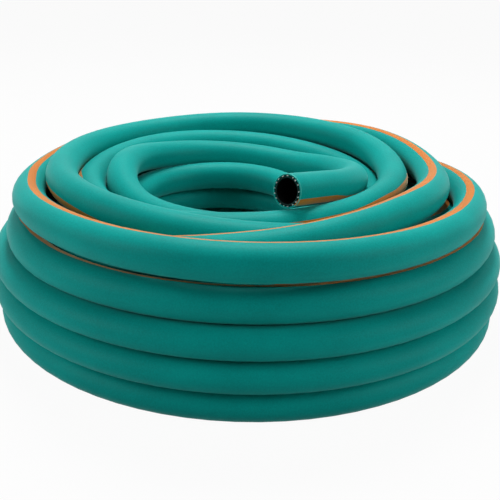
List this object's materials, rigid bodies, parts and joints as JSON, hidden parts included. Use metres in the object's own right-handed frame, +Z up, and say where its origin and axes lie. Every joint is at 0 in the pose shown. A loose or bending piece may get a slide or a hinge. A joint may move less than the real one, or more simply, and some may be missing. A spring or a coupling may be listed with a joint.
{
  "type": "garden hose",
  "caption": "Reinforced teal garden hose with one orange stripe, wound into a tall ring with a cut free end laid over the top.",
  "frame": {"origin": "on the ground, at the middle of the coil's bounding box", "axes": "+Z up out of the coil, +Y to the back, +X to the right when seen from the side where the free end points to the viewer"},
  "size_m": [0.2994, 0.2994, 0.0967],
  "materials": {
    "cover": "soft satin cover with a very fine pebble",
    "stripe": "soft satin stripe let into the cover",
    "yarn": "white knitted yarn",
    "liner": "smooth dark inner tube"
  },
  "bodies": {
    "root": {"coiled_hose": "cover", "end_cover": "cover", "end_stripe": "stripe", "end_braid": "yarn", "end_liner": "liner"}
  },
  "joints": []
}
